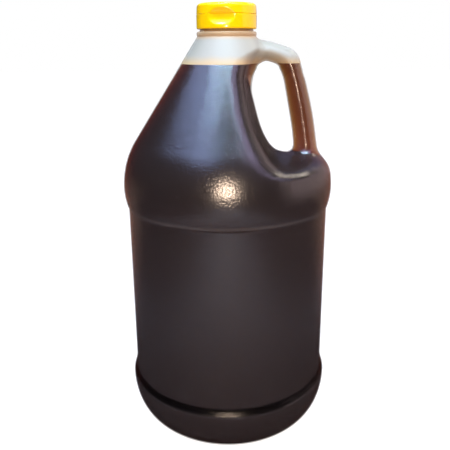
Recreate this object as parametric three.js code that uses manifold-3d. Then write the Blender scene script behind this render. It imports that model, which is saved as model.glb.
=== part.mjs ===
// A one-gallon round jug of honey: a thin blow-moulded jug with a hollow grip moulded into its
// cone, dark honey up to the top of the grip, and a yellow screw cap with a hinged flip lid.
// Millimetres, +Z up, origin at the centre of the standing face, grip towards +X.
import * as THREE from 'three';
import { mergeVertices } from 'three/addons/utils/BufferGeometryUtils.js';
import Module from 'manifold-3d';

const wasm = await Module();
wasm.setup();

// Driving dimensions of the jug
const BODY_RADIUS = 76;
const PANEL_RADIUS = 73.2;
const PANEL_LOW = 36.5;
const PANEL_HIGH = 168.9;
const PANEL_STEP = 4;
const SHOULDER_HEIGHT = 181.2;
const SHOULDER_BULGE = 0.8;
const SHOULDER_ROUND = 60.2;
const CONE_ANGLE = THREE.MathUtils.degToRad(32.86);
const HEEL_RUN = 19.7;
const HEEL_RISE = 32.4;
const STAND_WIDTH = 10;
const PUSH_UP = 3;
const BEAD_LOW = 284.3;
const BEAD_HIGH = 288.3;
const BEAD_RADIUS = 20.7;
const COLLAR_RADIUS = 18.5;
const COLLAR_HIGH = 289.4;
const NECK_RADIUS = 16.9;
const MOUTH_RADIUS = 15.2;
const MOUTH_HEIGHT = 297.2;
const WALL = 1.3;

// The pocket that the grip spans: a blunt nose towards the grip, flanks that turn away from it, less
// so lower down, and a floor that falls away on both sides of the grip's plane
const NOSE_HALF_WIDTH = 10;
const FLANK_ANGLE_LOW = THREE.MathUtils.degToRad(15);
const FLANK_ANGLE_HIGH = THREE.MathUtils.degToRad(26);
const FLANK_HEIGHT_LOW = 221;
const FLANK_HEIGHT_HIGH = 265;
const FLOOR_FALL = 0.14;
const FLOOR_HEIGHT = 203;
const FLOOR_SWEEP = 18;
const CREASE_BLEND = 11;
const NOSE_BLEND = 5;

// The honey
const FILL_LEVEL = 267;
const HONEY_GAP = 0.3;

// The cap and its flip lid
const CAP_RADIUS = 20.6;
const CAP_LOW = 289.8;
const SEAM = 299.3;
const SEAM_GAP = 0.3;
const CAP_TOP = 306.4;
const CAP_CROWN = 0.5;
const CAP_DRAFT = 0.3;
const CAP_EDGE = 2.6;
const CAP_FOOT_EDGE = 0.8;
const SKIRT_INSIDE = 17.4;
const DECK_THICKNESS = 1.9;
const LID_THICKNESS = 1.8;
const SPOUT_RADIUS = 6;
const SPOUT_HEIGHT = 2.4;
const ORIFICE_RADIUS = 4.2;
const CAP_TURN = THREE.MathUtils.degToRad(-10);
const SCOOP_HALF_HEIGHT = 5.5;
const SCOOP_HALF_WIDTH = 9.0;
const SCOOP_HEIGHT = 297.7;

// How finely the round forms are split
const BODY_SIDES = 36;
const HEEL_STEPS = 5;
const SHELF_STEPS = 8;
const POCKET_STEPS = 20;
const GRIP_SIDES = 12;
const GRIP_STEPS = 24;
const CAP_SIDES = 36;

// A closed mesh through a stack of rings with equally many points, each end closed by a fan
function loft(rings, firstCentre, lastCentre) {
  const sides = rings[0].length;
  const points = [firstCentre, ...rings.flat(), lastCentre];
  const last = points.length - 1;
  const index = [];
  for (let j = 0; j < sides; j++) {
    const next = (j + 1) % sides;
    index.push(0, 1 + next, 1 + j);
    for (let i = 0; i + 1 < rings.length; i++) {
      const low = 1 + i * sides;
      const high = low + sides;
      index.push(low + j, low + next, high + next);
      index.push(low + j, high + next, high + j);
    }
    const top = 1 + (rings.length - 1) * sides;
    index.push(top + j, top + next, last);
  }
  return new THREE.BufferGeometry().setFromPoints(points).setIndex(index);
}

// A geometry as a solid that can be joined and cut
function solidOf(geometry) {
  const bare = geometry.clone();
  bare.deleteAttribute('normal');
  bare.deleteAttribute('uv');
  const merged = mergeVertices(bare, 1e-4);
  return new wasm.Manifold(new wasm.Mesh({
    numProp: 3,
    vertProperties: merged.attributes.position.array,
    triVerts: new Uint32Array(merged.index.array),
  }));
}

function geometryOf(solid) {
  const mesh = solid.getMesh();
  const geometry = new THREE.BufferGeometry();
  geometry.setAttribute('position', new THREE.BufferAttribute(mesh.vertProperties, 3));
  geometry.setIndex(new THREE.BufferAttribute(mesh.triVerts, 1));
  geometry.computeVertexNormals();
  return geometry;
}

// The jug's outer radius above its shoulder: a round, then a straight cone
function coneRadius(z) {
  const tangentHeight = SHOULDER_HEIGHT + SHOULDER_ROUND * Math.sin(CONE_ANGLE);
  const centre = BODY_RADIUS - SHOULDER_ROUND;
  if (z < tangentHeight) {
    return centre + Math.sqrt(SHOULDER_ROUND ** 2 - (z - SHOULDER_HEIGHT) ** 2);
  }
  return centre + SHOULDER_ROUND * Math.cos(CONE_ANGLE) - (z - tangentHeight) * Math.tan(CONE_ANGLE);
}

// The pocket's line in the grip's plane, from the shoulder in along the floor and up the wall
const POCKET_LINE = new THREE.SplineCurve([
  [80, 178], [77, 186.5], [72, 195.5], [65, 200.3], [56, 203], [46, 204], [37, 206], [31.2, 210.8],
  [26.5, 219.5], [23.4, 228.5], [20.1, 241.5], [17.7, 254], [17.5, 260], [19.5, 268], [24, 276], [31, 284],
].map(([x, z]) => new THREE.Vector2(x, z)));

const POCKET_POINTS = POCKET_LINE.getSpacedPoints(100);

// How far the pocket leaves the jug reaching towards the grip at a height
function pocketReach(z) {
  const first = POCKET_POINTS[0];
  const last = POCKET_POINTS.at(-1);
  if (z <= first.y) {
    return first.x + 2 * (first.y - z);
  }
  if (z >= last.y) {
    return last.x;
  }
  const i = POCKET_POINTS.findIndex((point) => point.y > z);
  const low = POCKET_POINTS[i - 1];
  const high = POCKET_POINTS[i];
  return THREE.MathUtils.mapLinear(z, low.y, high.y, low.x, high.x);
}

// The smaller of two radii, with a soft crease where they meet
function softMinimum(a, b, blend) {
  const overlap = Math.max(blend - Math.abs(a - b), 0) / blend;
  return Math.min(a, b) - (overlap ** 2 * blend) / 4;
}

function pocketRadius(radius, z, azimuth) {
  const side = Math.abs(azimuth);
  const rise = THREE.MathUtils.smoothstep(z, FLANK_HEIGHT_LOW, FLANK_HEIGHT_HIGH);
  const flank = THREE.MathUtils.lerp(FLANK_ANGLE_LOW, FLANK_ANGLE_HIGH, rise);
  const facing = Math.cos(side - flank);
  if (facing < 0.1) {
    return radius;
  }
  const sweep = 1 - THREE.MathUtils.smoothstep(z, FLOOR_HEIGHT, FLOOR_HEIGHT + FLOOR_SWEEP);
  const fall = FLOOR_FALL * sweep * radius * Math.sin(side);
  const reach = pocketReach(z + fall);
  let wall = (reach * Math.cos(flank) + NOSE_HALF_WIDTH * Math.sin(flank)) / facing;
  if (Math.cos(side) > 0.1) {
    wall = softMinimum(wall, reach / Math.cos(side), NOSE_BLEND);
  }
  return softMinimum(radius, wall, CREASE_BLEND);
}

// The jug's side as [radius, height] stations, from the middle of the base up to the bead
function sideStations() {
  const standOuter = BODY_RADIUS - HEEL_RUN;
  const standInner = standOuter - STAND_WIDTH;
  const stations = [[standInner * 0.55, PUSH_UP], [standInner, 0]];
  for (let i = 0; i <= HEEL_STEPS; i++) {
    const angle = (i / HEEL_STEPS) * Math.PI / 2;
    stations.push([standOuter + HEEL_RUN * Math.sin(angle), HEEL_RISE * (1 - Math.cos(angle))]);
  }
  stations.push([BODY_RADIUS, PANEL_LOW - PANEL_STEP]);
  stations.push([PANEL_RADIUS, PANEL_LOW]);
  stations.push([PANEL_RADIUS, PANEL_HIGH]);
  stations.push([BODY_RADIUS - SHOULDER_BULGE, PANEL_HIGH + PANEL_STEP]);
  const heights = [SHOULDER_HEIGHT];
  for (let i = 1; i < SHELF_STEPS; i++) {
    heights.push(THREE.MathUtils.lerp(SHOULDER_HEIGHT, FLOOR_HEIGHT, i / SHELF_STEPS));
  }
  for (const point of POCKET_LINE.getSpacedPoints(POCKET_STEPS)) {
    if (point.y > heights.at(-1) + 0.5 && point.y < BEAD_LOW - 1) {
      heights.push(point.y);
    }
  }
  heights.push(BEAD_LOW);
  return [...stations, ...heights.map((z) => [coneRadius(z), z])];
}

// The side's rings of points, with the pocket pressed in
function sideRings() {
  return sideStations().map(([radius, z]) => {
    const ring = [];
    for (let j = 0; j < BODY_SIDES; j++) {
      const azimuth = (j < BODY_SIDES / 2 ? j : j - BODY_SIDES) * 2 * Math.PI / BODY_SIDES;
      const reach = z < BEAD_LOW ? pocketRadius(radius, z, azimuth) : radius;
      ring.push(new THREE.Vector3(reach * Math.cos(azimuth), reach * Math.sin(azimuth), z));
    }
    return ring;
  });
}

// The same rings with every point moved in along the side's own normal
function insetRings(rings, inset) {
  return rings.map((ring, i) => ring.map((point, j) => {
    const before = ring[(j + BODY_SIDES - 1) % BODY_SIDES];
    const after = ring[(j + 1) % BODY_SIDES];
    const below = rings[Math.max(i - 1, 0)][j];
    const above = rings[Math.min(i + 1, rings.length - 1)][j];
    const up = above.clone().sub(below);
    const normal = after.clone().sub(before).cross(up).normalize();
    return point.clone().addScaledVector(normal, -inset);
  }));
}

// The neck's rings above the side: bead, collar and finish outside, a plain bore inside
function neckRings(inset) {
  const middle = (BEAD_LOW + BEAD_HIGH) / 2;
  const bore = MOUTH_RADIUS - (inset - WALL);
  const inside = [[bore, COLLAR_HIGH], [bore, MOUTH_HEIGHT + WALL]];
  const outside = [
    [BEAD_RADIUS, middle - 1],
    [BEAD_RADIUS, middle + 1],
    [COLLAR_RADIUS, BEAD_HIGH],
    [COLLAR_RADIUS, COLLAR_HIGH],
    [NECK_RADIUS, COLLAR_HIGH + 0.2],
    [NECK_RADIUS, MOUTH_HEIGHT],
  ];
  return (inset > 0 ? inside : outside).map(([radius, z]) => {
    const ring = [];
    for (let j = 0; j < BODY_SIDES; j++) {
      const azimuth = j * 2 * Math.PI / BODY_SIDES;
      ring.push(new THREE.Vector3(radius * Math.cos(azimuth), radius * Math.sin(azimuth), z));
    }
    return ring;
  });
}

// The jug without its grip, inset all over
function bodySolid(inset) {
  const side = sideRings();
  const rings = [...(inset > 0 ? insetRings(side, inset) : side), ...neckRings(inset)];
  const floor = new THREE.Vector3(0, 0, PUSH_UP + inset);
  const top = new THREE.Vector3(0, 0, rings.at(-1)[0].z);
  return solidOf(loft(rings, floor, top));
}

// The grip's two edges in its own plane, paired across it, and its half depth from that plane
const GRIP_PAIRS = [
  { outer: [4, 282.6], inner: [15, 253.5], depth: 9.5 },
  { outer: [17, 283], inner: [21, 264.6], depth: 9.5 },
  { outer: [28, 281.8], inner: [28.6, 268.4], depth: 9.5 },
  { outer: [37, 279.5], inner: [32.6, 267.3], depth: 9.6 },
  { outer: [47.9, 275.2], inner: [36.5, 264.7], depth: 9.8 },
  { outer: [52.4, 265.7], inner: [39.2, 258.6], depth: 10 },
  { outer: [56.3, 252.5], inner: [41.3, 249], depth: 10 },
  { outer: [60.5, 235.8], inner: [44.3, 233.6], depth: 10 },
  { outer: [63.2, 222], inner: [46.6, 221], depth: 10 },
  { outer: [65, 210], inner: [47.8, 210.5], depth: 10.4 },
  { outer: [66.6, 201.8], inner: [47.6, 203.5], depth: 12 },
  { outer: [68.5, 194.5], inner: [44.5, 196.5], depth: 15.5 },
  { outer: [69, 184], inner: [42, 184], depth: 18 },
];
const GRIP_ROUNDNESS = 1.9;

function gripSolid(inset) {
  const edge = (side) => new THREE.SplineCurve(GRIP_PAIRS.map((pair) => new THREE.Vector2(...pair[side])));
  const outer = edge('outer');
  const inner = edge('inner');
  const depths = new THREE.SplineCurve(GRIP_PAIRS.map((pair, i) => new THREE.Vector2(i, pair.depth)));
  const centres = [];
  const rings = [];
  for (let i = 0; i <= GRIP_STEPS; i++) {
    const share = i / GRIP_STEPS;
    const far = outer.getPoint(share);
    const near = inner.getPoint(share);
    const centre = far.clone().add(near).multiplyScalar(0.5);
    const across = far.clone().sub(near).normalize();
    const halfWidth = far.distanceTo(near) / 2 - inset;
    const halfDepth = depths.getPoint(share).y - inset;
    const ring = [];
    for (let j = 0; j < GRIP_SIDES; j++) {
      const angle = (j / GRIP_SIDES) * 2 * Math.PI;
      const round = (value) => Math.sign(value) * Math.abs(value) ** (2 / GRIP_ROUNDNESS);
      const u = halfWidth * round(Math.cos(angle));
      const v = halfDepth * round(Math.sin(angle));
      ring.push(new THREE.Vector3(centre.x + u * across.x, -v, centre.y + u * across.y));
    }
    rings.push(ring);
    centres.push(new THREE.Vector3(centre.x, 0, centre.y));
  }
  return solidOf(loft(rings, centres[0], centres.at(-1)));
}

function jugGeometry() {
  const outside = bodySolid(0).add(gripSolid(0));
  const inside = bodySolid(WALL).add(gripSolid(WALL));
  return geometryOf(outside.subtract(inside));
}

function honeyGeometry() {
  const inset = WALL + HONEY_GAP;
  const filled = bodySolid(inset).add(gripSolid(inset));
  const below = new THREE.BoxGeometry(4 * BODY_RADIUS, 4 * BODY_RADIUS, FILL_LEVEL);
  below.translate(0, 0, FILL_LEVEL / 2);
  return geometryOf(filled.intersect(solidOf(below)));
}

// A solid of revolution about the jug's axis from an outline of [radius, height] points
function turned(outline, sides) {
  const lathe = new THREE.LatheGeometry(outline.map(([r, z]) => new THREE.Vector2(r, z)), sides);
  return solidOf(lathe.rotateX(Math.PI / 2));
}

// A lying cylinder that dishes the front of the cap and lid for a thumb
function scoopSolid() {
  const deepest = Math.sqrt(CAP_RADIUS ** 2 - SCOOP_HALF_WIDTH ** 2);
  const depth = CAP_RADIUS - deepest;
  const radius = (SCOOP_HALF_HEIGHT ** 2 + depth ** 2) / (2 * depth);
  const scoop = new THREE.CylinderGeometry(radius, radius, 2 * CAP_RADIUS, CAP_SIDES);
  scoop.rotateZ(Math.PI / 2);
  scoop.translate(0, -(deepest + radius), SCOOP_HEIGHT);
  return solidOf(scoop.rotateZ(CAP_TURN));
}

function capGeometry() {
  const deckLow = SEAM - DECK_THICKNESS;
  const spoutTop = SEAM + SPOUT_HEIGHT;
  const cap = turned([
    [ORIFICE_RADIUS, deckLow],
    [SKIRT_INSIDE, deckLow],
    [SKIRT_INSIDE, CAP_LOW],
    [CAP_RADIUS - CAP_FOOT_EDGE, CAP_LOW],
    [CAP_RADIUS, CAP_LOW + CAP_FOOT_EDGE],
    [CAP_RADIUS, SEAM],
    [SPOUT_RADIUS, SEAM],
    [SPOUT_RADIUS - 0.4, spoutTop],
    [ORIFICE_RADIUS, spoutTop],
    [ORIFICE_RADIUS, deckLow],
  ], CAP_SIDES);
  return geometryOf(cap.subtract(scoopSolid()));
}

function lidGeometry() {
  const low = SEAM + SEAM_GAP;
  const shoulder = CAP_TOP - CAP_EDGE;
  const ceiling = CAP_TOP - LID_THICKNESS;
  const radius = CAP_RADIUS - CAP_DRAFT;
  const outline = [[0, ceiling], [SKIRT_INSIDE, ceiling], [SKIRT_INSIDE, low], [CAP_RADIUS, low]];
  const edgeSteps = 4;
  for (let i = 0; i <= edgeSteps; i++) {
    const angle = (i / edgeSteps) * Math.PI / 2;
    outline.push([
      radius - CAP_EDGE + CAP_EDGE * Math.cos(angle),
      shoulder + CAP_EDGE * Math.sin(angle),
    ]);
  }
  outline.push([radius * 0.5, CAP_TOP + CAP_CROWN * 0.75]);
  outline.push([0, CAP_TOP + CAP_CROWN]);
  return geometryOf(turned(outline, CAP_SIDES).subtract(scoopSolid()));
}

function piece(name, geometry, color, roughness) {
  const material = new THREE.MeshStandardMaterial({ color, roughness, metalness: 0 });
  const mesh = new THREE.Mesh(geometry, material);
  mesh.name = name;
  return mesh;
}

const jugOfHoney = new THREE.Group();
jugOfHoney.add(
  piece('jug', jugGeometry(), 0xe6ddcf, 0.4),
  piece('honey', honeyGeometry(), 0x3a1c0c, 0.15),
  piece('cap', capGeometry(), 0xf5cf00, 0.3),
  piece('lid', lidGeometry(), 0xf5cf00, 0.3),
);

export default jugOfHoney;
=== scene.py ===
"""Dresses a one-gallon jug of honey: a milky blow-moulded jug, dark honey and a yellow flip cap.

Sizes are in millimetres until a mesh is made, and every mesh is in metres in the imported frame.
"""

import logging
import math
from dataclasses import dataclass, field
from enum import Enum

import bmesh
import bpy
import numpy as np
from mathutils import Matrix, Vector

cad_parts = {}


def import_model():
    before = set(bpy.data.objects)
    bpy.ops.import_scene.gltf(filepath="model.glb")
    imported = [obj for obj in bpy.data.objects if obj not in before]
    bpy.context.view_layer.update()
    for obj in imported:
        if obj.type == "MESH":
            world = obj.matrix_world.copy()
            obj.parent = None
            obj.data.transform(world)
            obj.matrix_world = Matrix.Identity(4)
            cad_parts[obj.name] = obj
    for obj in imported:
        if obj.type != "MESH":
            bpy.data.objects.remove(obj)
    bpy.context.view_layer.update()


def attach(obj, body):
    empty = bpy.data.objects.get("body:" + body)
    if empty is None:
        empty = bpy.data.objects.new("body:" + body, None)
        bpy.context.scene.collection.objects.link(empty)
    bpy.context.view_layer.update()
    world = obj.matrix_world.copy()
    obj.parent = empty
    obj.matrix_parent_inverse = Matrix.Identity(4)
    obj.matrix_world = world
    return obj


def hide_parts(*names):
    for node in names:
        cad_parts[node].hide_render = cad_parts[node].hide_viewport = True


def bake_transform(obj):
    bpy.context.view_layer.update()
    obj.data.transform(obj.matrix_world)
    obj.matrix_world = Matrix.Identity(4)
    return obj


LOG = logging.getLogger("jug_of_honey")
MM = 0.001
IMAGE_SIDE = 450
BASE_REACH = 0.02
FILL_LEVEL = 267.0

Array = np.ndarray
Colour = tuple[float, float, float]


class Body(Enum):
    """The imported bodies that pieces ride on."""

    JUG = "jug_body"
    LID = "flip_lid"


class Slot(Enum):
    """The record's material slots."""

    WALL = "jug_wall"
    HONEY = "honey"
    CAP = "cap_yellow"


def smooth_min(a: Array, b: Array, blend: float | Array) -> Array:
    """The smaller of two fields with a rounded meeting line.

    Args:
        a: First field.
        b: Second field.
        blend: Width of the rounding in millimetres.

    Returns:
        The blended field.
    """
    overlap = np.maximum(blend - np.abs(a - b), 0.0) / blend
    return np.minimum(a, b) - overlap * overlap * blend * 0.25


def smooth_step(value: Array, low: float, high: float) -> Array:
    """Rises smoothly from 0 at low to 1 at high.

    Args:
        value: Where to look.
        low: Start of the rise.
        high: End of the rise.

    Returns:
        The share from 0 to 1.
    """
    t = np.clip((value - low) / (high - low), 0.0, 1.0)
    return t * t * (3.0 - 2.0 * t)


def spline(points: Array, count: int) -> Array:
    """A smooth curve through points, spread evenly over them.

    Args:
        points: Control points, one row each.
        count: How many points to return.

    Returns:
        The points on the curve, one row each.
    """
    points = np.asarray(points, float)
    at = np.linspace(0.0, len(points) - 1.0, count)
    i = np.minimum(at.astype(int), len(points) - 2)
    t = (at - i)[:, None]
    last = len(points) - 1
    a, b = points[np.maximum(i - 1, 0)], points[i]
    c, d = points[i + 1], points[np.minimum(i + 2, last)]
    cubic = -a + 3.0 * b - 3.0 * c + d
    square = 2.0 * a - 5.0 * b + 4.0 * c - d
    return 0.5 * (2.0 * b + (c - a) * t + square * t**2 + cubic * t**3)


def line_distance(line: Array, u: Array, v: Array) -> tuple[Array, Array]:
    """Distance from points to an open line, and the side they lie on.

    Args:
        line: The line's points, one row each.
        u: First coordinate of the points.
        v: Second coordinate of the points.

    Returns:
        The distance, and 1 on the line's left or -1 on its right.
    """
    best = np.full(u.shape, np.inf)
    side = np.ones(u.shape)
    for (u0, v0), (u1, v1) in zip(line[:-1], line[1:]):
        du, dv = u1 - u0, v1 - v0
        length = du * du + dv * dv
        if length < 1e-12:
            continue
        share = np.clip(((u - u0) * du + (v - v0) * dv) / length, 0.0, 1.0)
        square = (u - u0 - share * du) ** 2 + (v - v0 - share * dv) ** 2
        nearer = square < best
        best = np.where(nearer, square, best)
        turn = np.where(du * (v - v0) - dv * (u - u0) >= 0.0, 1.0, -1.0)
        side = np.where(nearer, turn, side)
    return np.sqrt(best), side


@dataclass
class PlaneTable:
    """Values on an even grid in a plane, read between grid points."""

    origin: tuple[float, float]
    step: float
    values: Array

    def at(self, u: Array, v: Array) -> Array:
        """The value at points of the plane.

        Args:
            u: First coordinate.
            v: Second coordinate.

        Returns:
            The values, with a last axis where the table has one.
        """
        rows, columns = self.values.shape[:2]
        a = np.clip((u - self.origin[0]) / self.step, 0.0, rows - 1.001)
        b = np.clip((v - self.origin[1]) / self.step, 0.0, columns - 1.001)
        i, j = a.astype(int), b.astype(int)
        s, t = a - i, b - j
        if self.values.ndim == 3:
            s, t = s[..., None], t[..., None]
        low = self.values[i, j] * (1.0 - t) + self.values[i, j + 1] * t
        high = self.values[i + 1, j] * (1.0 - t) + self.values[i + 1, j + 1] * t
        return low * (1.0 - s) + high * s


@dataclass
class JugForm:
    """The jug's outer shape as a field that is negative inside, in millimetres."""

    body_radius: float = 75.95
    panel_radius: float = 73.2
    panel_low: float = 39.0
    panel_high: float = 168.6
    panel_lip: float = 2.0
    shoulder_height: float = 181.2
    shoulder_start: float = 74.1
    shoulder_round: float = 60.2
    cone_angle: float = math.radians(32.86)
    heel_run: float = 19.7
    heel_rise: float = 32.6
    stand_width: float = 10.0
    push_up: float = 3.0
    bead_low: float = 284.3
    bead_high: float = 288.3
    bead_radius: float = 20.7
    collar_radius: float = 18.5
    collar_high: float = 289.4
    neck_radius: float = 16.9
    mouth_height: float = 297.2
    wall: float = 1.3
    nose_half_width: float = 8.0
    nose_round: float = 6.0
    flank_low: float = math.radians(4.0)
    flank_high: float = math.radians(10.0)
    flank_heights: tuple[float, float] = (205.0, 240.0)
    floor_fall: float = 0.125
    floor_tilt: float = 0.065
    floor_round: float = 6.0
    floor_heights: tuple[float, float] = (206.0, 228.0)
    crease_blend: float = 10.0
    crease_low_heights: tuple[float, float] = (192.0, 207.0)
    crease_high_heights: tuple[float, float] = (268.0, 280.0)
    grip_blend: float = 7.0
    grip_high_heights: tuple[float, float] = (272.0, 281.0)
    grip_power: float = 1.75
    pocket_points: tuple[tuple[float, float], ...] = (
        (90.0, 172.0), (80.5, 187.0), (75.5, 196.0), (68.5, 201.0), (58.0, 203.0), (46.0, 203.8),
        (37.0, 205.6), (31.0, 210.6), (26.0, 219.4), (22.7, 228.5), (19.2, 241.5), (16.2, 253.0),
        (15.4, 259.0), (17.6, 267.0), (23.5, 275.0), (33.0, 283.0), (46.0, 294.0),
    )
    grip_pairs: tuple[tuple[float, float, float, float, float], ...] = (
        (2.0, 283.0, 13.0, 254.0, 9.5),
        (15.0, 283.6, 20.0, 264.3, 9.5),
        (26.5, 282.2, 26.8, 268.4, 9.5),
        (35.6, 280.0, 31.6, 267.6, 9.6),
        (42.6, 277.5, 34.6, 266.2, 9.7),
        (48.4, 273.9, 36.8, 264.0, 9.8),
        (51.2, 267.6, 38.6, 260.0, 9.9),
        (53.6, 260.6, 40.0, 255.4, 10.0),
        (56.3, 252.5, 41.3, 249.0, 10.0),
        (60.5, 235.8, 44.3, 233.6, 10.0),
        (63.2, 222.0, 46.6, 221.0, 10.0),
        (65.0, 210.0, 47.8, 210.5, 10.4),
        (66.4, 201.8, 47.6, 203.5, 12.0),
        (68.0, 194.5, 45.0, 196.5, 15.0),
        (68.0, 180.0, 42.0, 182.0, 18.0),
    )
    side_table: PlaneTable = field(init=False)
    pocket_table: PlaneTable = field(init=False)
    grip_table: PlaneTable = field(init=False)

    def __post_init__(self) -> None:
        """Fills the tables that the field reads."""
        self.side_table = self._side_table()
        self.pocket_table = self._pocket_table()
        self.grip_table = self._grip_table()

    def profile(self) -> Array:
        """The turned outline from the middle of the base up past the mouth.

        Returns:
            Points as radius and height, one row each.
        """
        stand_outer = self.body_radius - self.heel_run
        stand_inner = stand_outer - self.stand_width
        points = [(-1.0, self.push_up), (stand_inner * 0.5, self.push_up)]
        for t in np.linspace(0.0, 1.0, 12)[1:]:
            radius = stand_inner * (0.5 + 0.5 * t)
            points.append((radius, self.push_up * (0.5 + 0.5 * math.cos(math.pi * t))))
        for t in np.linspace(0.0, math.pi / 2, 26):
            radius = stand_outer + self.heel_run * math.sin(t)
            points.append((radius, self.heel_rise * (1.0 - math.cos(t))))
        for t in np.linspace(0.0, 1.0, 12)[1:]:
            depth = (self.body_radius - self.panel_radius) * (0.5 - 0.5 * math.cos(math.pi * t))
            height = self.heel_rise + 0.3 + (self.panel_low - self.heel_rise) * t
            points.append((self.body_radius - depth, height))
        lip = self.panel_lip
        for t in np.linspace(0.0, 1.0, 7):
            rise = (self.shoulder_start - self.panel_radius) * (0.5 - 0.5 * math.cos(math.pi * t))
            points.append((self.panel_radius + rise, self.panel_high - lip + lip * t))
        for t in np.linspace(0.0, 1.0, 12)[1:]:
            radius = self.body_radius - (self.body_radius - self.shoulder_start) * (1.0 - t) ** 2
            height = self.panel_high + (self.shoulder_height - self.panel_high) * t
            points.append((radius, height))
        centre = self.body_radius - self.shoulder_round
        for t in np.linspace(0.0, self.cone_angle, 22)[1:]:
            height = self.shoulder_height + self.shoulder_round * math.sin(t)
            points.append((centre + self.shoulder_round * math.cos(t), height))
        radius, height = points[-1]
        rise = self.bead_low - height
        points.append((radius - rise * math.tan(self.cone_angle), self.bead_low))
        middle = (self.bead_low + self.bead_high) / 2.0 + 0.3
        half = (self.bead_high - self.bead_low) / 2.0 - 0.5
        notch = self.bead_radius - 0.45
        points.append((notch, self.bead_low + 0.7))
        for t in np.linspace(-0.5, 0.5, 9):
            round_off = math.cos(math.pi * t) ** 0.45
            points.append((notch + (self.bead_radius - notch) * round_off, middle + 2.0 * half * t))
        points.append((self.collar_radius, self.bead_high))
        points.append((self.collar_radius, self.collar_high))
        points.append((self.neck_radius, self.collar_high + 0.2))
        points.append((self.neck_radius, self.mouth_height + 20.0))
        return np.array(points)

    def _side_table(self) -> PlaneTable:
        """The distance to the turned outline over radius and height.

        Returns:
            The table, negative inside.
        """
        step = 0.3
        u, v = np.meshgrid(np.arange(0.0, 86.0, step), np.arange(-6.0, 306.0, step), indexing="ij")
        distance, side = line_distance(self.profile(), u, v)
        return PlaneTable((0.0, -6.0), step, -distance * side)

    def _pocket_table(self) -> PlaneTable:
        """The distance to the pocket's line in the grip's plane.

        Returns:
            The table, positive where it is hollow.
        """
        step = 0.5
        u, v = np.meshgrid(np.arange(0.0, 110.0, step), np.arange(160.0, 310.0, step), indexing="ij")
        distance, side = line_distance(spline(np.array(self.pocket_points), 160), u, v)
        return PlaneTable((0.0, 160.0), step, -distance * side)

    def _grip_table(self) -> PlaneTable:
        """The grip's section over its own plane.

        Returns:
            The table of the place across as a share of the half width, the half width and the half depth.
        """
        step = 0.5
        rows = spline(np.array(self.grip_pairs), 320)
        middle = (rows[:, 0:2] + rows[:, 2:4]) / 2.0
        across = rows[:, 0:2] - rows[:, 2:4]
        width = np.hypot(across[:, 0], across[:, 1]) / 2.0
        across = across / (2.0 * width[:, None])
        u, v = np.meshgrid(np.arange(-10.0, 90.0, step), np.arange(170.0, 300.0, step), indexing="ij")
        best = np.full(u.shape, np.inf)
        found = np.zeros(u.shape + (3,))
        along = np.gradient(middle, axis=0)
        along = along / np.linalg.norm(along, axis=1)[:, None]
        for (x, z), (ax, az), (tx, tz), half, depth in zip(middle, across, along, width, rows[:, 4]):
            place = (u - x) * ax + (v - z) * az
            off = (u - x) * tx + (v - z) * tz
            cost = np.hypot(np.maximum(np.abs(place) - half, 0.0), off * 1.6)
            nearer = cost < best
            best = np.where(nearer, cost, best)
            here = np.stack([np.hypot(place, off) / half * np.sign(place), np.full_like(u, half),
                             np.full_like(u, depth)], axis=-1)
            found = np.where(nearer[..., None], here, found)
        return PlaneTable((-10.0, 170.0), step, found)

    def field(self, x: Array, y: Array, z: Array) -> Array:
        """The jug's outer shape at points.

        Args:
            x: Place towards the grip.
            y: Place away from the camera.
            z: Height.

        Returns:
            About the distance to the surface, negative inside.
        """
        turned = self.side_table.at(np.hypot(x, y), z)
        side = np.abs(y)
        beyond = side - self.nose_half_width
        ramp = 0.5 * (np.sqrt(beyond * beyond + self.nose_round**2) + beyond)
        ramp = ramp - 0.5 * (math.hypot(self.nose_half_width, self.nose_round) - self.nose_half_width)
        lean = smooth_step(z, *self.flank_heights)
        slope = np.tan(self.flank_low + (self.flank_high - self.flank_low) * lean)
        crown = np.sqrt(side * side + self.floor_round**2) - self.floor_round
        fall = self.floor_fall * crown + self.floor_tilt * y
        sweep = 1.0 - smooth_step(z, *self.floor_heights)
        pocket = self.pocket_table.at(x + slope * ramp, z + fall * sweep)
        blend = self.crease_blend * (1.0 - 0.75 * smooth_step(z, *self.crease_high_heights))
        blend = blend * (1.0 - 0.6 * (1.0 - smooth_step(z, *self.crease_low_heights)))
        overlap = np.maximum(blend - np.abs(turned - pocket), 0.0) / blend
        hollowed = np.maximum(turned, pocket) + overlap * overlap * blend * 0.25
        near = (x > -8.0) & (side < 45.0) & (z > 170.0) & (z < 299.0)
        shape = hollowed.copy()
        if near.any():
            share, half, depth = np.moveaxis(self.grip_table.at(x[near], z[near]), -1, 0)
            power = self.grip_power
            ratio = (np.abs(share) ** power + (side[near] / depth) ** power) ** (1.0 / power)
            grip = (ratio - 1.0) * np.minimum(half, depth)
            fillet = self.grip_blend * (1.0 - 0.7 * smooth_step(z[near], *self.grip_high_heights))
            shape[near] = smooth_min(hollowed[near], grip, fillet)
        return shape

    def slope(self, points: Array) -> Array:
        """The field's slope at points.

        Args:
            points: Points in millimetres, one row each.

        Returns:
            The slope, one row each.
        """
        step = 0.4
        columns = []
        for axis in range(3):
            move = np.zeros(3)
            move[axis] = step
            ahead, behind = points + move, points - move
            rise = self.field(*ahead.T) - self.field(*behind.T)
            columns.append(rise / (2.0 * step))
        return np.stack(columns, axis=1)


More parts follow.
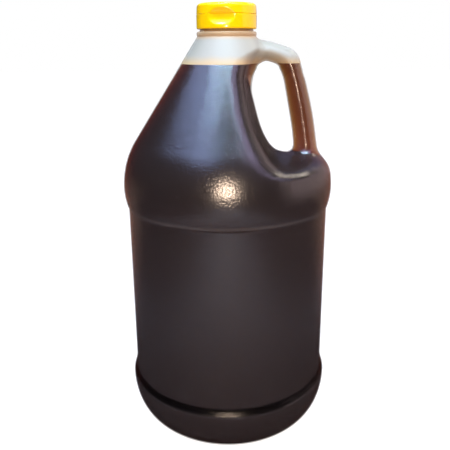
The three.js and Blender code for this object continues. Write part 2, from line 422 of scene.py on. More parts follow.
@dataclass
class RoundGrid:
    """A grid round the jug's axis, closer towards the grip, that finds surfaces of its field."""

    form: JugForm
    sides: int = 264
    crowding: float = 0.42
    inner: float = 6.0
    outer: float = 79.0
    radial_step: float = 1.7
    bands: tuple[tuple[float, float, float], ...] = (
        (-1.5, 40.0, 1.35), (40.0, 164.0, 6.0), (164.0, 184.0, 1.0),
        (184.0, 282.0, 1.35), (282.0, 300.0, 0.7),
    )
    azimuths: Array = field(init=False)
    radii: Array = field(init=False)
    heights: Array = field(init=False)
    values: Array = field(init=False)

    def __post_init__(self) -> None:
        """Samples the field."""
        even = (np.arange(self.sides) + 0.5) / self.sides * 2.0 * math.pi
        self.azimuths = even - self.crowding * np.sin(even)
        self.radii = np.arange(self.inner, self.outer, self.radial_step)
        levels = [np.arange(low, high - step * 0.5, step) for low, high, step in self.bands]
        self.heights = np.append(np.concatenate(levels), self.bands[-1][1])
        a, r, z = np.meshgrid(self.azimuths, self.radii, self.heights, indexing="ij")
        self.values = self.form.field(r * np.cos(a), r * np.sin(a), z)

    def _place(self, i: Array, j: Array, k: Array) -> Array:
        """Grid nodes as points.

        Args:
            i: Their places round the axis.
            j: Their places outwards.
            k: Their places upwards.

        Returns:
            The points, one row each.
        """
        angle = self.azimuths[i % self.sides]
        radius = self.radii[j]
        columns = (radius * np.cos(angle), radius * np.sin(angle), self.heights[k])
        return np.stack(columns, axis=1)

    def surface(self, level: float) -> tuple[Array, Array]:
        """The surface where the field has a value.

        Args:
            level: The value, 0 for the outside and negative inside.

        Returns:
            Points in millimetres, and four-sided faces by point index.
        """
        values = self.values - level
        inside = values < 0.0
        around = np.roll(inside, -1, axis=0)
        corners = [
            array[:, dj:dj + inside.shape[1] - 1, dk:dk + inside.shape[2] - 1]
            for array in (inside, around) for dj in (0, 1) for dk in (0, 1)
        ]
        filled = sum(corner.astype(np.int8) for corner in corners)
        active = (filled > 0) & (filled < 8)
        i, j, k = np.nonzero(active)
        index = np.full(active.shape, -1)
        index[i, j, k] = np.arange(len(i))
        total, count = np.zeros((len(i), 3)), np.zeros((len(i), 1))
        offsets = [(a, b, c) for a in (0, 1) for b in (0, 1) for c in (0, 1)]
        for start in offsets:
            for axis in range(3):
                if start[axis]:
                    continue
                end = tuple(1 if n == axis else s for n, s in enumerate(start))
                p = (i + start[0], j + start[1], k + start[2])
                q = (i + end[0], j + end[1], k + end[2])
                f = values[p[0] % self.sides, p[1], p[2]]
                g = values[q[0] % self.sides, q[1], q[2]]
                crossed = (f < 0.0) != (g < 0.0)
                t = np.where(crossed, f / np.where(crossed, f - g, 1.0), 0.0)[:, None]
                point = self._place(*p) * (1.0 - t) + self._place(*q) * t
                total += np.where(crossed[:, None], point, 0.0)
                count += crossed[:, None]
        points = self._settle(total / count, level)
        return points, self._faces(inside, index)

    def _faces(self, inside: Array, index: Array) -> Array:
        """Faces across every crossed grid edge, turned outwards.

        Args:
            inside: Which grid nodes lie inside.
            index: The point of each grid cell.

        Returns:
            Corners by point index, one row each.
        """
        before = np.roll(index, 1, axis=0)
        around = np.roll(inside, -1, axis=0)
        crossings = (
            (inside[:, :-1, 1:-1], inside[:, 1:, 1:-1],
             (before[:, :, :-1], index[:, :, :-1], index[:, :, 1:], before[:, :, 1:])),
            (inside[:, 1:-1, :-1], inside[:, 1:-1, 1:],
             (before[:, :-1], before[:, 1:], index[:, 1:], index[:, :-1])),
            (inside[:, 1:-1, 1:-1], around[:, 1:-1, 1:-1],
             (index[:, :-1, :-1], index[:, :-1, 1:], index[:, 1:, 1:], index[:, 1:, :-1])),
        )
        faces = []
        for near, far, quad in crossings:
            faces.append(self._pick(near & ~far, quad))
            faces.append(self._pick(~near & far, quad[::-1]))
        return np.concatenate(faces)

    @staticmethod
    def _pick(mask: Array, quad: tuple[Array, ...]) -> Array:
        """The corners of the faces that a mask chooses, one row each."""
        return np.stack([corner[mask] for corner in quad], axis=1)

    def _settle(self, points: Array, level: float) -> Array:
        """Moves points along the field's slope until they lie on its surface.

        Args:
            points: The points, one row each.
            level: The surface's value.

        Returns:
            The moved points.
        """
        for _ in range(3):
            slope = self.form.slope(points)
            miss = self.form.field(*points.T) - level
            square = np.maximum((slope * slope).sum(axis=1), 0.05)
            move = np.clip(miss / square, -1.2, 1.2)
            points = points - move[:, None] * slope
        return points


class ShaderGraph:
    """Small helpers to lay out one node tree."""

    def __init__(self, tree: bpy.types.NodeTree) -> None:
        """Keeps the tree to work in."""
        self.tree = tree

    def node(self, kind: str, **settings: object) -> bpy.types.Node:
        """Adds a node and sets its properties.

        Args:
            kind: The node's type name.
            settings: Its properties by name.

        Returns:
            The node.
        """
        made = self.tree.nodes.new(kind)
        for name, value in settings.items():
            setattr(made, name, value)
        return made

    def link(self, source: bpy.types.NodeSocket, target: bpy.types.NodeSocket) -> None:
        """Joins two sockets."""
        self.tree.links.new(source, target)

    def math(self, operation: str, first: object, second: object = 0.0,
             third: object = 0.0) -> bpy.types.NodeSocket:
        """Adds a sum on up to three values or sockets.

        Args:
            operation: The sum's name.
            first: First value or socket.
            second: Second value or socket.
            third: Third value or socket.

        Returns:
            The result's socket.
        """
        made = self.node("ShaderNodeMath", operation=operation)
        for socket, value in zip(made.inputs, (first, second, third)):
            if isinstance(value, bpy.types.NodeSocket):
                self.link(value, socket)
            else:
                socket.default_value = value
        return made.outputs[0]

    def rise(self, value: bpy.types.NodeSocket, low: float, high: float) -> bpy.types.NodeSocket:
        """A smooth step from 0 at low to 1 at high.

        Args:
            value: What to step on.
            low: Start of the rise.
            high: End of the rise.

        Returns:
            The result's socket.
        """
        made = self.node("ShaderNodeMapRange", interpolation_type="SMOOTHSTEP")
        made.inputs["From Min"].default_value = low
        made.inputs["From Max"].default_value = high
        self.link(value, made.inputs["Value"])
        return made.outputs["Result"]

    def mix(self, share: object, first: object, second: object) -> bpy.types.NodeSocket:
        """Mixes two colours.

        Args:
            share: How much of the second, as a value or socket.
            first: First colour or socket.
            second: Second colour or socket.

        Returns:
            The mixed colour's socket.
        """
        made = self.node("ShaderNodeMix", data_type="RGBA")
        for socket, value in zip((made.inputs[0], made.inputs[6], made.inputs[7]), (share, first, second)):
            if isinstance(value, bpy.types.NodeSocket):
                self.link(value, socket)
            elif isinstance(value, tuple):
                socket.default_value = (*value, 1.0)
            else:
                socket.default_value = value
        return made.outputs[2]

    def bump(self, height: bpy.types.NodeSocket, strength: float, distance: float) -> bpy.types.NodeSocket:
        """Bends the surface's normal by a height.

        Args:
            height: The height's socket.
            strength: Share of the full effect.
            distance: Height of one unit in metres.

        Returns:
            The normal's socket.
        """
        made = self.node("ShaderNodeBump")
        made.inputs["Strength"].default_value = strength
        made.inputs["Distance"].default_value = distance
        self.link(height, made.inputs["Height"])
        return made.outputs["Normal"]


def new_finish(name: str) -> tuple[bpy.types.Material, ShaderGraph, bpy.types.Node]:
    """Starts a node material.

    Args:
        name: The material's name.

    Returns:
        The material, its graph and its main shader.
    """
    made = bpy.data.materials.new(name)
    made.use_nodes = True
    return made, ShaderGraph(made.node_tree), made.node_tree.nodes["Principled BSDF"]


class MouldGrain:
    """Node group for moulded plastic: fine surface grain, slow unevenness and stray specks."""

    NAME = "mould_grain"

    def tree(self) -> bpy.types.NodeTree:
        """The group, built on first use.

        Returns:
            The shader node group.
        """
        if self.NAME in bpy.data.node_groups:
            return bpy.data.node_groups[self.NAME]
        group = bpy.data.node_groups.new(self.NAME, "ShaderNodeTree")
        for name, value in (("Grain Scale", 900.0), ("Speck Scale", 130.0), ("Speck Size", 0.05)):
            socket = group.interface.new_socket(name, in_out="INPUT", socket_type="NodeSocketFloat")
            socket.default_value = value
        for name in ("Grain", "Unevenness", "Specks"):
            group.interface.new_socket(name, in_out="OUTPUT", socket_type="NodeSocketFloat")
        graph = ShaderGraph(group)
        inputs, outputs = graph.node("NodeGroupInput"), graph.node("NodeGroupOutput")
        place = graph.node("ShaderNodeTexCoord").outputs["Object"]
        grain = graph.node("ShaderNodeTexNoise")
        grain.inputs["Detail"].default_value = 2.0
        graph.link(place, grain.inputs["Vector"])
        graph.link(inputs.outputs["Grain Scale"], grain.inputs["Scale"])
        graph.link(grain.outputs["Fac"], outputs.inputs["Grain"])
        slow = graph.node("ShaderNodeTexNoise")
        slow.inputs["Scale"].default_value = 34.0
        slow.inputs["Detail"].default_value = 3.0
        graph.link(place, slow.inputs["Vector"])
        graph.link(slow.outputs["Fac"], outputs.inputs["Unevenness"])
        cells = graph.node("ShaderNodeTexVoronoi")
        graph.link(place, cells.inputs["Vector"])
        graph.link(inputs.outputs["Speck Scale"], cells.inputs["Scale"])
        dot = graph.math("LESS_THAN", cells.outputs["Distance"], inputs.outputs["Speck Size"])
        tone = graph.node("ShaderNodeSeparateColor")
        graph.link(cells.outputs["Color"], tone.inputs["Color"])
        chosen = graph.math("GREATER_THAN", tone.outputs[0], 0.86)
        graph.link(graph.math("MULTIPLY", dot, chosen), outputs.inputs["Specks"])
        return group


@dataclass(frozen=True)
class WallFinish:
    """Satin natural polyethylene, see-through and milky, dry or with honey behind it."""

    name: str
    colour: Colour
    uneven_colour: Colour
    alpha: float
    roughness: float
    grain: float
    film: bool
    level: float
    gloss: float
    ior: float
    grain_scale: float = 800.0
    grain_depth: float = 0.0005
    # Height and half width in metres of a band at the base groove where the wall's haze fades: a painted
    # line of shade.
    groove_shade: float = 0.0370
    groove_shade_half: float = 0.0034
    # Height and half width in metres of a painted highlight: a lighter line along the top edge of the
    # recessed panel.
    edge: float = 0.1694
    highlight_line_half: float = 0.0016
    seam_half: float = 0.0006

    @staticmethod
    def _band(graph: ShaderGraph, value: bpy.types.NodeSocket, middle: float,
              half: float) -> bpy.types.NodeSocket:
        """A soft band, one at its middle and nought from half its width outwards."""
        off = graph.math("ABSOLUTE", graph.math("SUBTRACT", value, middle))
        return graph.math("SUBTRACT", 1.0, graph.rise(off, half * 0.35, half))

    def material(self) -> bpy.types.Material:
        """Builds the finish.

        Returns:
            The material.
        """
        made, graph, shader = new_finish(self.name)
        shader.inputs["IOR"].default_value = self.ior
        shader.inputs["Specular IOR Level"].default_value = self.gloss
        mould = graph.node("ShaderNodeGroup", node_tree=MouldGrain().tree())
        mould.inputs["Grain Scale"].default_value = self.grain_scale
        grain, uneven = mould.outputs["Grain"], mould.outputs["Unevenness"]
        place = graph.node("ShaderNodeSeparateXYZ")
        graph.link(graph.node("ShaderNodeTexCoord").outputs["Object"], place.inputs[0])
        height = place.outputs["Z"]
        alpha = graph.math("MULTIPLY_ADD", grain, self.grain * 0.2, self.alpha - self.grain * 0.1)
        # Painted shade: in a band at the base groove the wall's haze and its reflections fade, so the dark
        # honey shows as a dark line.
        groove_shade = graph.math("MULTIPLY", self._band(graph, height, self.groove_shade, self.groove_shade_half), 0.85)
        alpha = graph.math("MULTIPLY", alpha, graph.math("SUBTRACT", 1.0, groove_shade))
        colour = graph.mix(uneven, self.colour, self.uneven_colour)
        # Painted highlight: a lighter colour is mixed in along the panel's top edge.
        edge = graph.math("MULTIPLY", self._band(graph, height, self.edge, self.highlight_line_half), 0.2)
        colour = graph.mix(edge, colour, (0.42, 0.36, 0.33))
        if self.film:
            reach = graph.math("MULTIPLY_ADD", uneven, -0.006, height)
            film = graph.math("SUBTRACT", 1.0, graph.rise(reach, self.level - 0.003, self.level + 0.0035))
            colour = graph.mix(graph.math("MULTIPLY", film, 0.75), colour, (0.66, 0.42, 0.17))
            # Partly painted shade and light, partly real: the neck and bead are mixed towards ochre for
            # the cap's shadow and its yellow light, and for the honey film and thicker plastic there.
            neck_film_and_shade = graph.rise(height, self.level + 0.0150, self.level + 0.0185)
            colour = graph.mix(graph.math("MULTIPLY", neck_film_and_shade, 0.85), colour, (0.60, 0.38, 0.17))
        speck = graph.math("MULTIPLY", mould.outputs["Specks"], 0.55)
        colour = graph.mix(speck, colour, (0.75, 0.7, 0.66))
        graph.link(colour, shader.inputs["Base Color"])
        graph.link(graph.math("MAXIMUM", alpha, speck), shader.inputs["Alpha"])
        rough = graph.math("MULTIPLY_ADD", grain, 0.12, self.roughness - 0.06)
        graph.link(rough, shader.inputs["Roughness"])
        off_seam = graph.rise(graph.math("ABSOLUTE", place.outputs["Y"]), 0.0, self.seam_half)
        relief = graph.math("MULTIPLY_ADD", graph.math("SUBTRACT", 1.0, off_seam), 0.9, grain)
        graph.link(graph.bump(relief, self.grain, self.grain_depth), shader.inputs["Normal"])
        return made


@dataclass(frozen=True)
class HoneyFinish:
    """Clear dark amber honey that swallows light with depth."""

    name: str = "dark_honey"
    colour: Colour = (0.762, 0.46, 0.065)
    density: float = 285.0
    ior: float = 1.01
    roughness: float = 0.12

    def material(self) -> bpy.types.Material:
        """Builds the finish.

        Returns:
            The material.
        """
        made, graph, shader = new_finish(self.name)
        shader.inputs["Transmission Weight"].default_value = 1.0
        shader.inputs["IOR"].default_value = self.ior
        mould = graph.node("ShaderNodeGroup", node_tree=MouldGrain().tree())
        colour = graph.mix(mould.outputs["Unevenness"], (0.96, 0.93, 0.9), (1.0, 0.99, 0.97))
        graph.link(colour, shader.inputs["Base Color"])
        rough = graph.math("MULTIPLY_ADD", mould.outputs["Unevenness"], 0.06, self.roughness - 0.03)
        graph.link(rough, shader.inputs["Roughness"])
        depth = graph.node("ShaderNodeVolumeAbsorption")
        depth.inputs["Color"].default_value = (*self.colour, 1.0)
        depth.inputs["Density"].default_value = self.density
        graph.link(depth.outputs[0], made.node_tree.nodes["Material Output"].inputs["Volume"])
        return made


@dataclass(frozen=True)
class CapFinish:
    """Glossy yellow moulded plastic."""

    name: str = "yellow_gloss"
    colour: Colour = (0.93, 0.57, 0.0)
    uneven_colour: Colour = (0.89, 0.51, 0.0)
    roughness: float = 0.2

    def material(self) -> bpy.types.Material:
        """Builds the finish.

        Returns:
            The material.
        """
        made, graph, shader = new_finish(self.name)
        shader.inputs["Coat Roughness"].default_value = 0.06
        shader.inputs["Coat Weight"].default_value = 0.2
        shader.inputs["Specular IOR Level"].default_value = 0.35
        mould = graph.node("ShaderNodeGroup", node_tree=MouldGrain().tree())
        mould.inputs["Grain Scale"].default_value = 1500.0
        mould.inputs["Speck Scale"].default_value = 160.0
        colour = graph.mix(mould.outputs["Unevenness"], self.colour, self.uneven_colour)
        speck = graph.math("MULTIPLY", mould.outputs["Specks"], 0.12)
        graph.link(graph.mix(speck, colour, (0.7, 0.42, 0.02)), shader.inputs["Base Color"])
        rough = graph.math("MULTIPLY_ADD", mould.outputs["Unevenness"], 0.1, self.roughness - 0.05)
        graph.link(rough, shader.inputs["Roughness"])
        graph.link(graph.bump(mould.outputs["Grain"], 0.05, 0.0003), shader.inputs["Normal"])
        return made


def add_piece(name: str, mesh: bpy.types.Mesh, body: Body, node: str = "") -> bpy.types.Object:
    """Puts a finished mesh in the scene as a piece of the part.

    Args:
        name: The piece's name.
        mesh: Its mesh.
        body: The body that it rides on.
        node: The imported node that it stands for, if any.

    Returns:
        The piece.
    """
    piece = bpy.data.objects.new(name, mesh)
    bpy.context.scene.collection.objects.link(piece)
    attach(piece, body.value)
    if node:
        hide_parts(node)
    return piece


def mesh_from(name: str, points: Array, faces: Array) -> bpy.types.Mesh:
    """A smooth-shaded mesh in metres.

    Args:
        name: The mesh's name.
        points: Points in millimetres, one row each.
        faces: Corners by point index, one row each.

    Returns:
        The mesh.
    """
    mesh = bpy.data.meshes.new(name)
    mesh.from_pydata((points * MM).tolist(), [], faces.tolist())
    mesh.polygons.foreach_set("use_smooth", np.ones(len(mesh.polygons), bool))
    return mesh


def close_base(work: bmesh.types.BMesh, below: float) -> None:
    """Closes the small open ring round the axis with a fan.

    Args:
        work: The mesh to close.
        below: Height under which open edges belong to that ring, in metres.
    """
    rim = [e for e in work.edges if e.is_boundary and max(v.co.z for v in e.verts) < below]
    if not rim:
        return
    corners = {v for e in rim for v in e.verts}
    middle = sum((v.co for v in corners), Vector()) / len(corners)
    centre = work.verts.new((0.0, 0.0, middle.z))
    for edge in rim:
        loop = edge.link_loops[0]
        face = work.faces.new((loop.link_loop_next.vert, loop.vert, centre))
        face.smooth = True


def cut_at(work: bmesh.types.BMesh, height: float, clear_above: bool = False,
           clear_below: bool = False) -> None:
    """Cuts a mesh along a level plane.

    Args:
        work: The mesh to cut.
        height: The plane's height in millimetres.
        clear_above: Whether to drop what lies above.
        clear_below: Whether to drop what lies below.
    """
    everything = work.verts[:] + work.edges[:] + work.faces[:]
    bmesh.ops.bisect_plane(work, geom=everything, plane_co=(0.0, 0.0, height * MM),
                           plane_no=(0.0, 0.0, 1.0), dist=1e-7,
                           clear_outer=clear_above, clear_inner=clear_below)


@dataclass
class Jug:
    """The blow-moulded jug: its outside, its inside above the honey and its mouth."""

    form: JugForm
    grid: RoundGrid
    level: float
    dry: WallFinish
    wetted: WallFinish
    inside_depth: float = 0.4

    def build(self) -> bpy.types.Object:
        """Builds and dresses the jug.

        Returns:
            The piece.
        """
        work = bmesh.new()
        work.from_mesh(self._outside())
        work.from_mesh(self._lining())
        self._bridge_mouth(work)
        level = self.level * MM
        for face in work.faces:
            face.material_index = 0 if face.calc_center_median().z > level else 1
        mesh = bpy.data.meshes.new("jug_wall")
        work.to_mesh(mesh)
        work.free()
        mesh.materials.append(self.dry.material())
        mesh.materials.append(self.wetted.material())
        self._shade(mesh)
        return add_piece("jug_wall", mesh, Body.JUG, "jug")

    def _outside(self) -> bpy.types.Mesh:
        """The outer surface, cut at the mouth and along the honey's level.

        Returns:
            The mesh.
        """
        mesh = mesh_from("jug_outside", *self.grid.surface(0.0))
        work = bmesh.new()
        work.from_mesh(mesh)
        cut_at(work, self.form.mouth_height, clear_above=True)
        cut_at(work, self.level)
        close_base(work, BASE_REACH)
        work.to_mesh(mesh)
        work.free()
        return mesh

    def _lining(self) -> bpy.types.Mesh:
        """The inner surface from the mouth down to a little under the honey's level, turned inwards.

        Returns:
            The mesh.
        """
        mesh = mesh_from("jug_lining", *self.grid.surface(-self.form.wall))
        work = bmesh.new()
        work.from_mesh(mesh)
        cut_at(work, self.form.mouth_height, clear_above=True)
        cut_at(work, self.level - self.inside_depth, clear_below=True)
        work.to_mesh(mesh)
        work.free()
        mesh.flip_normals()
        return mesh

    def _bridge_mouth(self, work: bmesh.types.BMesh) -> None:
        """Joins the outer and inner surfaces round the mouth.

        Args:
            work: The mesh that holds both.
        """
        top = (self.form.mouth_height - 0.01) * MM
        rim = [e for e in work.edges if e.is_boundary and min(v.co.z for v in e.verts) > top]
        bmesh.ops.bridge_loops(work, edges=rim)

    def _shade(self, mesh: bpy.types.Mesh) -> None:
        """Gives the mesh the field's own normals, turned round on the lining.

        Args:
            mesh: The mesh to shade.
        """
        mesh.polygons.foreach_set("use_smooth", np.ones(len(mesh.polygons), bool))
        points = np.empty(len(mesh.vertices) * 3)
        mesh.vertices.foreach_get("co", points)
        points = points.reshape(-1, 3) / MM
        slope = self.form.slope(points)
        slope /= np.maximum(np.linalg.norm(slope, axis=1), 1e-6)[:, None]
        inside = self.form.field(*points.T) < -0.5 * self.form.wall
        slope[inside] *= -1.0
        mesh.normals_split_custom_set_from_vertices(slope.tolist())


@dataclass
class Honey:
    """The honey up to its level, reaching into half of the jug's wall."""

    form: JugForm
    grid: RoundGrid
    level: float
    finish: HoneyFinish

    def build(self) -> bpy.types.Object:
        """Builds and dresses the honey.

        Returns:
            The piece.
        """
        mesh = mesh_from("honey_fill", *self.grid.surface(-self.form.wall * 0.5))
        work = bmesh.new()
        work.from_mesh(mesh)
        cut_at(work, self.level, clear_above=True)
        close_base(work, BASE_REACH)
        rim = [e for e in work.edges if e.is_boundary]
        made = bmesh.ops.edgeloop_fill(work, edges=rim)
        for face in made["faces"]:
            face.normal_update()
            if face.normal.z < 0.0:
                face.normal_flip()
        bmesh.ops.triangulate(work, faces=made["faces"])
        for edge in rim:
            edge.smooth = False
        work.to_mesh(mesh)
        work.free()
        mesh.materials.append(self.finish.material())
        return add_piece("honey_fill", mesh, Body.JUG, "honey")


@dataclass
class FlipCap:
    """The screw cap, its flip lid with a thumb dish across the seam, and the web that hinges it."""

    finish: CapFinish
    radius: float = 20.6
    low: float = 289.8
    seam: float = 299.3
    seam_gap: float = 0.3
    top: float = 306.4
    crown: float = 0.45
    draft: float = 0.3
    edge: float = 2.4
    foot_edge: float = 0.8
    skirt_inside: float = 17.4
    deck: float = 1.9
    lid_thickness: float = 1.8
    spout_radius: float = 6.0
    spout_height: float = 2.4
    orifice_radius: float = 4.2
    turn: float = math.radians(-10.0)
    dish_half_height: float = 5.5
    dish_half_width: float = 9.0
    dish_height: float = 297.7
    sides: int = 216
    row: float = 0.3

    def build(self) -> list[bpy.types.Object]:
        """Builds and dresses the cap, the lid and the web.

        Returns:
            The pieces.
        """
        gloss = self.finish.material()
        cap = self._turned("screw_cap", self._cap_outline())
        lid = self._turned("flip_lid", self._lid_outline())
        web = self._web()
        for mesh in (cap, lid, web):
            mesh.materials.append(gloss)
        pieces = [
            add_piece("screw_cap", cap, Body.JUG, "cap"),
            add_piece("flip_lid", lid, Body.LID, "lid"),
        ]
        strap = bpy.data.objects.new("hinge_web", web)
        bpy.context.scene.collection.objects.link(strap)
        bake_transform(strap)
        return [*pieces, strap]

    def _cap_outline(self) -> list[tuple[float, float]]:
        """The cap's turned outline, from the deck down the skirt, over the spout and back.

        Returns:
            Radius and height of each corner.
        """
        deck_low, spout_top = self.seam - self.deck, self.seam + self.spout_height
        lip = 0.25
        return [
            (self.skirt_inside - 3.0, deck_low), (self.skirt_inside, deck_low),
            (self.skirt_inside, self.low),
            (self.radius - self.foot_edge, self.low), (self.radius - 0.25, self.low + 0.25),
            (self.radius, self.low + self.foot_edge), (self.radius, self.seam - lip),
            (self.radius - lip, self.seam), (self.spout_radius + 0.5, self.seam),
            (self.spout_radius, self.seam + 0.5), (self.spout_radius - 0.3, spout_top - 0.3),
            (self.spout_radius - 0.6, spout_top), (self.orifice_radius + 0.3, spout_top),
            (self.orifice_radius, spout_top - 0.3), (self.orifice_radius, deck_low),
            (self.skirt_inside - 3.0, deck_low),
        ]

    def _lid_outline(self) -> list[tuple[float, float]]:
        """The lid's turned outline, from the middle of its ceiling out and over its top.

        Returns:
            Radius and height of each corner.
        """
        low = self.seam + self.seam_gap * 0.4
        ceiling = self.top - self.lid_thickness
        radius = self.radius - self.draft
        lip = 0.25
        outline = [
            (0.4, ceiling), (self.skirt_inside - 1.0, ceiling), (self.skirt_inside, ceiling - 1.0),
            (self.skirt_inside, low), (self.radius - lip, low), (self.radius - 0.05, low + lip),
        ]
        for t in np.linspace(0.0, math.pi / 2, 9):
            outline.append((radius - self.edge + self.edge * math.cos(t),
                            self.top - self.edge + self.edge * math.sin(t)))
        for t in np.linspace(0.0, 1.0, 7)[1:]:
            outline.append(((radius - self.edge) * (1.0 - t) + 0.4 * t,
                            self.top + self.crown * (1.0 - (1.0 - t) ** 2)))
        outline.append((0.4, ceiling))
        return outline

    def _turned(self, name: str, outline: list[tuple[float, float]]) -> bpy.types.Mesh:
        """Turns an outline about the axis and presses the thumb dish into it.

        Args:
            name: The mesh's name.
            outline: Radius and height of each corner, closed on itself.

        Returns:
            The mesh.
        """
        dense: list[tuple[float, float]] = []
        for (r0, z0), (r1, z1) in zip(outline[:-1], outline[1:]):
            steps = max(1, int(math.hypot(r1 - r0, z1 - z0) / self.row))
            steps = min(steps, 8) if abs(z1 - z0) < 0.01 else steps
            for t in np.linspace(0.0, 1.0, steps, endpoint=False):
                dense.append((r0 + (r1 - r0) * t, z0 + (z1 - z0) * t))
        rows = np.array(dense)
        angle = np.arange(self.sides) / self.sides * 2.0 * math.pi
        radius = np.repeat(rows[:, 0][:, None], self.sides, axis=1)
        height = np.repeat(rows[:, 1][:, None], self.sides, axis=1)
        deepest = math.sqrt(self.radius**2 - self.dish_half_width**2)
        depth = self.radius - deepest
        bend = (self.dish_half_height**2 + depth**2) / (2.0 * depth)
        facing = np.cos(angle)[None, :]
        off = np.clip(np.abs(height - self.dish_height), 0.0, bend - 0.01)
        dish = (deepest + bend - np.sqrt(bend**2 - off**2)) / np.maximum(facing, 0.2)
        pressed = smooth_min(radius, dish, 0.35)
        radius = np.where((facing > 0.5) & (radius > self.skirt_inside + 0.6), pressed, radius)
        x = radius * np.sin(angle)[None, :]
        y = -radius * np.cos(angle)[None, :]
        cos, sin = math.cos(self.turn), math.sin(self.turn)
        points = np.stack([x * cos - y * sin, x * sin + y * cos, height], axis=-1).reshape(-1, 3)
        count = len(rows)
        faces = []
        for i in range(count):
            after = (i + 1) % count
            for j in range(self.sides):
                right = (j + 1) % self.sides
                faces.append((i * self.sides + j, i * self.sides + right,
                              after * self.sides + right, after * self.sides + j))
        mesh = mesh_from(name, points, np.array(faces))
        self._tidy(mesh)
        return mesh

    def _tidy(self, mesh: bpy.types.Mesh) -> None:
        """Turns faces outwards and keeps the outline's hard corners crisp.

        Args:
            mesh: The mesh to tidy.
        """
        work = bmesh.new()
        work.from_mesh(mesh)
        bmesh.ops.remove_doubles(work, verts=work.verts[:], dist=1e-6)
        bmesh.ops.recalc_face_normals(work, faces=work.faces[:])
        for edge in work.edges:
            if len(edge.link_faces) == 2 and edge.calc_face_angle() > math.radians(38.0):
                edge.smooth = False
        work.to_mesh(mesh)
        work.free()

    def _web(self) -> bpy.types.Mesh:
        """A thin strap across the seam at the back, thinnest where it bends.

        Returns:
            The mesh.
        """
        half_angle, columns, rows = math.radians(14.0), 15, 13
        low, high = self.seam - 1.6, self.seam + self.seam_gap + 1.6
        points, faces = [], []
        for layer in (0, 1):
            for i in range(rows):
                t = i / (rows - 1)
                z = low + (high - low) * t
                thin = 0.16 + 0.14 * abs(2.0 * t - 1.0)
                for j in range(columns):
                    s = 2.0 * j / (columns - 1) - 1.0
                    angle = half_angle * s + self.turn + math.pi / 2
                    round_off = max(0.0, 1.0 - s**6) ** 0.5
                    r = self.radius - 0.12 + (thin * round_off if layer else -0.12)
                    points.append((r * math.cos(angle), r * math.sin(angle), z))
        size = rows * columns
        for i in range(rows - 1):
            for j in range(columns - 1):
                a = i * columns + j
                faces.append((a, a + columns, a + columns + 1, a + 1))
                faces.append((size + a, size + a + 1, size + a + columns + 1, size + a + columns))
        ring = list(range(columns))
        ring += [i * columns + columns - 1 for i in range(1, rows)]
        ring += [(rows - 1) * columns + j for j in range(columns - 2, -1, -1)]
        ring += [i * columns for i in range(rows - 2, 0, -1)]
        for a, b in zip(ring, ring[1:] + ring[:1]):
            faces.append((a, b, size + b, size + a))
        mesh = mesh_from("hinge_web", np.array(points), np.array(faces))
        self._tidy(mesh)
        return mesh


@dataclass(frozen=True)
class SoftLight:
    """One studio lamp with a soft face."""

    name: str
    azimuth: float
    elevation: float
    distance: float
    size: tuple[float, float]
    power: float
    colour: Colour
    target: tuple[float, float, float] = (0.0, 0.0, 0.2)

    def build(self) -> None:
        """Places the lamp, aimed at its target."""
        lamp = bpy.data.lights.new(self.name, "AREA")
        lamp.shape = "RECTANGLE"
        lamp.size, lamp.size_y = self.size
        lamp.energy = self.power
        lamp.color = self.colour
        a, e = math.radians(self.azimuth), math.radians(self.elevation)
        back = Vector((math.sin(a) * math.cos(e), -math.cos(a) * math.cos(e), math.sin(e)))
        holder = bpy.data.objects.new(self.name, lamp)
        holder.location = Vector(self.target) + back * self.distance
        holder.rotation_euler = back.to_track_quat("Z", "Y").to_euler()
        holder.visible_camera = False
        holder.visible_transmission = False
        bpy.context.scene.collection.objects.link(holder)


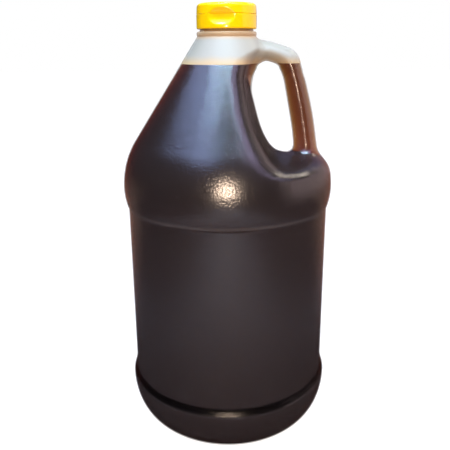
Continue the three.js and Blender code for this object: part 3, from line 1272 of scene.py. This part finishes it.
@dataclass
class Studio:
    """The pale floor, the soft lights, the surroundings and the camera."""

    camera_place: tuple[float, float, float] = (0.0, -0.38997, 0.27866)
    camera_pitch: float = 0.277
    camera_roll: float = -0.006
    focal_pixels: float = 540.5
    centre_pixels: tuple[float, float] = (227.6, 199.7)
    lights: tuple[SoftLight, ...] = (
        SoftLight("front_softbox", -3.0, 78.0, 1.0, (0.70, 0.34), 23.0, (0.54, 0.76, 1.0)),
        SoftLight("left_softbox", -64.0, 55.0, 1.4, (1.6, 0.6), 14.0, (0.42, 0.55, 1.0)),
        SoftLight("warm_lamp", -1.0, 8.0, 0.5, (0.03, 0.11), 1.8, (1.0, 0.75, 0.56)),
        SoftLight("right_softbox", 58.0, 52.0, 1.2, (0.8, 0.6), 4.0, (0.74, 0.62, 1.0)),
        SoftLight("right_fill", 108.0, 8.0, 1.2, (2.4, 0.9), 8.0, (1.0, 0.76, 0.76)),
        SoftLight("shelf_lamp", 125.0, 42.0, 0.8, (0.30, 0.08), 1.0, (1.0, 0.88, 0.74)),
        SoftLight("back_fill", 178.0, 30.0, 1.3, (1.5, 0.8), 2.2, (0.62, 0.58, 1.0)),
    )

    def build(self) -> None:
        """Builds everything round the part."""
        self._floor()
        self._surroundings()
        for light in self.lights:
            light.build()
        self._camera()
        bpy.context.scene.view_settings.view_transform = "Standard"

    def _floor(self) -> None:
        """A large floor just under the part: nearly white to the camera, with a painted shadow round the
        part and painted shade and colour in what reflections see.
        """
        reach = 6.0
        mesh = bpy.data.meshes.new("floor")
        signs = ((-1.0, -1.0), (1.0, -1.0), (1.0, 1.0), (-1.0, 1.0))
        corners = [(reach * a, reach * b, -0.0002) for a, b in signs]
        mesh.from_pydata(corners, [], [(0, 1, 2, 3)])
        pale, graph, shader = new_finish("pale_floor")
        shader.inputs["Roughness"].default_value = 0.9
        shader.inputs["Specular IOR Level"].default_value = 0.1
        shader.inputs["Emission Color"].default_value = (1.0, 1.0, 1.0, 1.0)
        path = graph.node("ShaderNodeLightPath")
        mirrored = path.outputs["Is Glossy Ray"]
        position = graph.node("ShaderNodeNewGeometry").outputs["Position"]
        span = graph.node("ShaderNodeVectorMath", operation="LENGTH")
        graph.link(position, span.inputs[0])
        # Share of the floor outside a painted shadow round the part. Inside that shadow the glow seen
        # through the honey fades, and reflections see a darker floor.
        outside_painted_shadow = graph.rise(span.outputs["Value"], 0.1, 0.5)
        through = graph.math("MULTIPLY", path.outputs["Is Transmission Ray"], 0.65)
        through = graph.math("MULTIPLY", through, outside_painted_shadow)
        seen = graph.math("MULTIPLY", path.outputs["Is Camera Ray"], 0.93)
        side = graph.node("ShaderNodeSeparateXYZ")
        graph.link(position, side.inputs[0])
        # Painted reflection shade: reflections see the floor darker beside the part and close round it.
        beside = graph.rise(graph.math("ABSOLUTE", side.outputs["X"]), 0.03, 0.35)
        painted_reflection_shade = graph.math("MAXIMUM", beside, graph.math("SUBTRACT", 1.0, outside_painted_shadow))
        painted_reflection_shade = graph.math("MULTIPLY", painted_reflection_shade, mirrored)
        tone = graph.mix(painted_reflection_shade, (0.38, 0.34, 0.33), (0.09, 0.06, 0.05))
        # Painted reflection: reflections see the floor behind the part in warm brown.
        behind = graph.math("MULTIPLY", graph.rise(side.outputs["Y"], 0.05, 0.4), mirrored)
        graph.link(graph.mix(behind, tone, (0.46, 0.31, 0.19)), shader.inputs["Base Color"])
        graph.link(graph.math("MAXIMUM", seen, through), shader.inputs["Emission Strength"])
        mesh.materials.append(pale)
        floor = bpy.data.objects.new("floor", mesh)
        bpy.context.scene.collection.objects.link(floor)

    def _surroundings(self) -> None:
        """White to the camera, softer to reflections, brighter to light that passes through."""
        world = bpy.data.worlds.new("studio")
        world.use_nodes = True
        bpy.context.scene.world = world
        graph = ShaderGraph(world.node_tree)
        backdrop = world.node_tree.nodes["Background"]
        path = graph.node("ShaderNodeLightPath")
        soft = graph.mix(path.outputs["Is Glossy Ray"], (0.28, 0.27, 0.26), (0.06, 0.052, 0.048))
        soft = graph.mix(path.outputs["Is Transmission Ray"], soft, (0.65, 0.63, 0.61))
        soft = graph.mix(path.outputs["Is Camera Ray"], soft, (1.0, 1.0, 1.0))
        graph.link(soft, backdrop.inputs["Color"])
        backdrop.inputs["Strength"].default_value = 1.0

    def _camera(self) -> None:
        """The camera at the photograph's place and angle."""
        lens = bpy.data.cameras.new("camera")
        lens.sensor_width = 36.0
        lens.lens = self.focal_pixels / IMAGE_SIDE * lens.sensor_width
        middle = IMAGE_SIDE / 2.0
        lens.shift_x = (middle - self.centre_pixels[0]) / IMAGE_SIDE
        lens.shift_y = (self.centre_pixels[1] - middle) / IMAGE_SIDE
        lens.clip_start = 0.01
        camera = bpy.data.objects.new("camera", lens)
        camera.location = self.camera_place
        turn = Matrix.Rotation(math.pi / 2 - self.camera_pitch, 4, "X")
        camera.rotation_euler = (turn @ Matrix.Rotation(self.camera_roll, 4, "Z")).to_euler()
        bpy.context.scene.collection.objects.link(camera)
        bpy.context.scene.camera = camera


def main() -> None:
    """Builds the dressed part and its studio, and logs the grid's size and each piece's face count."""
    logging.basicConfig(level=logging.INFO, format="%(name)s: %(message)s")
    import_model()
    level = FILL_LEVEL
    form = JugForm()
    grid = RoundGrid(form)
    LOG.info("field sampled on %d x %d x %d nodes", *grid.values.shape)
    dry = WallFinish(
        "dry_wall", colour=(0.45, 0.43, 0.355), uneven_colour=(0.40, 0.37, 0.285), alpha=0.64,
        roughness=0.42, grain=0.12, film=True, level=level * MM, gloss=0.45, ior=1.5,
    )
    wetted = WallFinish(
        "wetted_wall", colour=(0.050, 0.034, 0.031), uneven_colour=(0.036, 0.024, 0.022), alpha=0.36,
        roughness=0.24, grain=0.4, film=False, level=level * MM, gloss=1.0, ior=1.9,
    )
    pieces = [Jug(form, grid, level, dry, wetted).build(), Honey(form, grid, level, HoneyFinish()).build()]
    pieces += FlipCap(CapFinish()).build()
    for piece in pieces:
        LOG.info("%s: %d faces", piece.name, len(piece.data.polygons))
    Studio().build()


if __name__ == "__main__":
    main()
